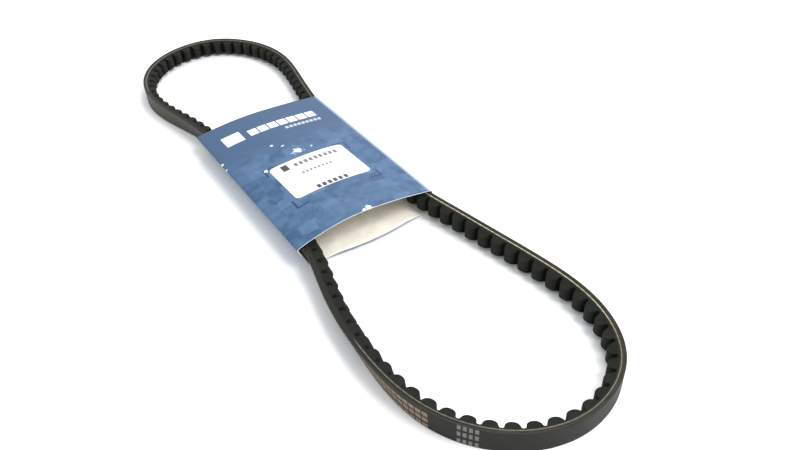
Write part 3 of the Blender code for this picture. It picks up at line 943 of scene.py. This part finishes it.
def card_print_material():
    """Printed card: two blues, the pattern, corner marks, white blocks, worn spots and a painted
    sheen strip along the right crease.
    """
    paint = Paint("card_print", 0.50, 0.07)
    solid = paint.solid()
    x, y, _ = paint.split(solid)
    panel = paint.place("sheet_place")[2]
    top = paint.band(panel, 1.5, 2.5, 0.05)
    cloud = paint.noise(solid, 60.0, 4.0, 0.6)
    grain = paint.noise(solid, 2400.0, 3.0, 0.6)
    plain_end = paint.step(y, *PATTERN_END_Y)
    shade = tone_pattern(paint, x, y)
    blue = paint.mix(paint.step(shade, 0.30, 0.95), BLUE, BLUE_PALE)
    blue = paint.mix(paint.step(shade, 0.42, 0.22), blue, BLUE_DEEP)
    slate = paint.mix(cloud, SLATE, tint(SLATE, 1.12))
    colour = paint.mix(plain_end, blue, slate)
    colour = paint.mix(paint.share(paint.step(grain, 0.40, 0.70), 0.10), colour, BLUE_PALE)
    colour = paint.mix(paint.both(bracket_mask(paint, x, y), top, 0.9), colour, NAVY)
    emblem = paint.both(paint.box(x, y, millimetres(EMBLEM), PRINT_SOFT), top)
    word = paint.both(block_row(paint, x, y, WORD_BAR, 7, 0.86, PRINT_SOFT), top)
    sub = paint.both(block_row(paint, x, y, SUB_BAR, 9, 0.72, FINE_PRINT_SOFT), top, 0.55)
    colour = paint.mix(paint.either(emblem, word, sub), colour, INK_WHITE)
    # Painted sheen: a pale strip along the right crease and down its wall
    across = paint.math("ADD", x, paint.share(y, CREASE_SHEEN_SLANT))
    crease_sheen = paint.both(paint.step(across, *CREASE_SHEEN_X), paint.band(panel, 1.5, 4.5, 0.05), 0.9)
    colour = paint.mix(crease_sheen, colour, CREASE_SHEEN)
    colour = paint.mix(scuff_mask(paint, x, y, solid, top), colour, INK_WHITE)
    roughness = paint.spread(cloud, *NOISE_RANGE, 0.34, 0.50)
    normal = paint.bump(cloud, 0.25 * MM, 0.35)
    normal = paint.bump(grain, 0.02 * MM, 0.4, normal)
    return paint.finish(colour, roughness, normal)


# Worn spots on the top panel in millimetres: x, y, radius, share
SCUFFS = (
    (-4.0, 16.8, 3.9, 1.0), (-14.7, 32.6, 1.2, 0.8), (-9.2, 27.9, 1.1, 0.8),
    (5.7, 16.5, 1.0, 0.7), (-30.3, 9.4, 1.9, 0.95), (-0.6, -62.4, 2.5, 1.0),
    (-4.6, -63.6, 1.7, 1.0), (-47.0, 38.0, 1.8, 0.9), (-47.2, 31.0, 1.6, 0.8),
)


def scuff_mask(paint, x, y, solid, top):
    """Ragged white spots where the print has been rubbed through."""
    ragged = paint.spread(paint.noise(solid, 420.0, 4.0, 0.7), 0.35, 0.65, 0.55, 2.3)
    speck = paint.step(paint.noise(solid, 2400.0, 3.0, 0.7), 0.34, 0.44)
    masks = []
    for cx, cy, radius, share in SCUFFS:
        dx = paint.math("SUBTRACT", x, cx * MM)
        dy = paint.math("SUBTRACT", y, cy * MM)
        squares = paint.math("ADD", paint.both(dx, dx), paint.both(dy, dy))
        away = paint.both(paint.math("SQRT", squares), ragged)
        masks.append(paint.share(paint.step(away, radius * MM, radius * 0.8 * MM), share))
    return paint.both(paint.either(*masks), speck, top)


def card_inside_material():
    """Uncoated board: soft fibre mottle and small flecks."""
    paint = Paint("card_board", 0.9, 0.15)
    solid = paint.solid()
    cloud = paint.noise(solid, 120.0, 5.0, 0.6)
    fibre = paint.noise(solid, 2200.0, 4.0, 0.7)
    colour = paint.mix(paint.step(cloud, *NOISE_RANGE), CREAM, tint(CREAM, 1.14))
    fleck = paint.step(paint.voronoi(solid, 600.0), 0.10, 0.04)
    colour = paint.mix(paint.share(fleck, 0.35), colour, FLECK)
    return paint.finish(colour, None, paint.bump(fibre, 0.04 * MM, 0.6))


def card_edge_material():
    """The white cut edge of the board, with its fibre layers."""
    paint = Paint("card_cut_edge", 0.9, 0.15)
    solid = paint.solid()
    fibre = paint.noise(solid, 4200.0, 4.0, 0.7)
    colour = paint.mix(paint.step(fibre, 0.35, 0.65), tint(PAPER, 0.85), PAPER)
    return paint.finish(colour, None, paint.bump(fibre, 0.05 * MM, 0.7))


def label_material():
    """White label paper with generic bars and blocks for its printing."""
    paint = Paint("label_paper", 0.5, 0.35)
    solid = paint.solid()
    x, y, _ = paint.split(solid)
    fibre = paint.noise(solid, 1800.0, 4.0, 0.6)
    tooth = paint.step(paint.noise(solid, 8000.0, 2.0, 0.6), 0.06, 0.34)
    emblem = paint.box(x, y, millimetres(LABEL_EMBLEM), FINE_PRINT_SOFT)
    word = paint.share(block_row(paint, x, y, LABEL_WORD, 9, 0.70, FINE_PRINT_SOFT), 0.85)
    line = paint.share(block_row(paint, x, y, LABEL_LINE, 8, 0.60, FINE_PRINT_SOFT), 0.80)
    number = block_row(paint, x, y, LABEL_NUMBER, 6, 0.68, FINE_PRINT_SOFT)
    ink = paint.both(paint.either(emblem, word, line, number), tooth)
    colour = paint.mix(paint.step(fibre, *NOISE_RANGE), tint(LABEL_WHITE, 0.97), LABEL_WHITE)
    colour = paint.mix(ink, colour, LABEL_INK)
    return paint.finish(colour, None, paint.bump(fibre, 0.015 * MM, 0.5))


def glue_material():
    """Dried glue: cloudy, slightly glossy, with small bubbles."""
    paint = Paint("dried_glue", 0.35, 0.5)
    solid = paint.solid()
    cloud = paint.noise(solid, 220.0, 4.0, 0.6)
    bubble = paint.voronoi(solid, 900.0)
    colour = paint.mix(cloud, GLUE_DARK, GLUE_LIGHT)
    roughness = paint.spread(cloud, *NOISE_RANGE, 0.25, 0.50)
    return paint.finish(colour, roughness, paint.bump(bubble, 0.05 * MM, 0.6))


# ---------------------------------------------------------------- stage

def build_floor():
    """A plain pale surface, far wider than the object."""
    corners = ((-1, -1), (1, -1), (1, 1), (-1, 1))
    mesh = bpy.data.meshes.new("pale_floor")
    mesh.from_pydata([(FLOOR_HALF * x, FLOOR_HALF * y, 0.0) for x, y in corners],
                     [], [(0, 1, 2, 3)])
    floor = bpy.data.objects.new("pale_floor", mesh)
    bpy.context.scene.collection.objects.link(floor)
    paint = Paint("pale_floor", 0.6, 0.2)
    mesh.materials.append(paint.finish(FLOOR_COLOUR))


def build_lights():
    """An even, nearly white surround, a soft lamp behind on the right and one in front."""
    world = bpy.data.worlds.new("studio")
    world.use_nodes = True
    back = world.node_tree.nodes["Background"]
    back.inputs["Color"].default_value = WORLD_COLOUR
    back.inputs["Strength"].default_value = WORLD_STRENGTH
    bpy.context.scene.world = world
    add_lamp("back_lamp", *BACK_LAMP)
    add_lamp("front_lamp", *FRONT_LAMP)


def add_lamp(name, place, watts, size, colour):
    """A round soft lamp that points at the object."""
    lamp = bpy.data.lights.new(name, "AREA")
    lamp.shape = "DISK"
    lamp.size = size
    lamp.energy = watts
    lamp.color = colour
    holder = bpy.data.objects.new(name, lamp)
    holder.location = place
    holder.rotation_euler = (-Vector(place)).to_track_quat("-Z", "Y").to_euler()
    bpy.context.scene.collection.objects.link(holder)


def build_camera():
    """The photo's camera: a heading from +Y towards +X, a pitch down and a roll."""
    ahead_x, ahead_y = math.sin(CAMERA_HEADING), math.cos(CAMERA_HEADING)
    flat, drop = math.cos(CAMERA_PITCH), math.sin(CAMERA_PITCH)
    forward = Vector((ahead_x * flat, ahead_y * flat, -drop))
    level = Vector((ahead_y, -ahead_x, 0.0))
    rise = level.cross(forward)
    right = math.cos(CAMERA_ROLL) * level + math.sin(CAMERA_ROLL) * rise
    up = -math.sin(CAMERA_ROLL) * level + math.cos(CAMERA_ROLL) * rise
    data = bpy.data.cameras.new("camera")
    data.lens = CAMERA_LENS
    data.sensor_width = CAMERA_SENSOR
    data.shift_y = CAMERA_SHIFT
    data.clip_start = 0.01
    camera = bpy.data.objects.new("camera", data)
    turn = Matrix((right, up, -forward)).transposed().to_4x4()
    camera.matrix_world = Matrix.Translation(CAMERA_PLACE) @ turn
    bpy.context.scene.collection.objects.link(camera)
    bpy.context.scene.camera = camera


def set_view():
    settings = bpy.context.scene.view_settings
    settings.view_transform = "Standard"
    settings.look = "None"
    settings.exposure = 0.0
    settings.gamma = 1.0


# ---------------------------------------------------------------- assembly

build_camera()
set_view()
build_floor()
build_lights()

gum = flank_material("gum_rubber", FLANK_DARK, FLANK_LIGHT, 0.35)
overcord = flank_material("overcord_rubber", FLANK_DARK, FLANK_LIGHT, 0.5)
build_layer("back_cover", BACK_COVER, EDGE_ROUND, BACK_CROWN_POINTS,
            back_cover_material(), "belt_back_cover")
build_layer("overcord_rubber", OVERCORD, LAYER_CHAMFER, LAYER_CROWN_POINTS,
            overcord, "belt_overcord_rubber")
build_layer("upper_gum", UPPER_GUM, LAYER_CHAMFER, LAYER_CROWN_POINTS,
            gum, "belt_upper_gum")
build_layer("lower_gum", LOWER_GUM, LAYER_CHAMFER, LAYER_CROWN_POINTS,
            gum, "belt_lower_gum")
build_undercord(undercord_material())
cord = cord_material()
for turn in range(CORD_TURNS):
    build_cord(turn, cord)

build_card([card_print_material(), card_inside_material(), card_edge_material()])
build_label(label_material())
glue_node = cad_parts["sleeve_glue_strip"]
glue_node.material_slots[0].material = glue_material()
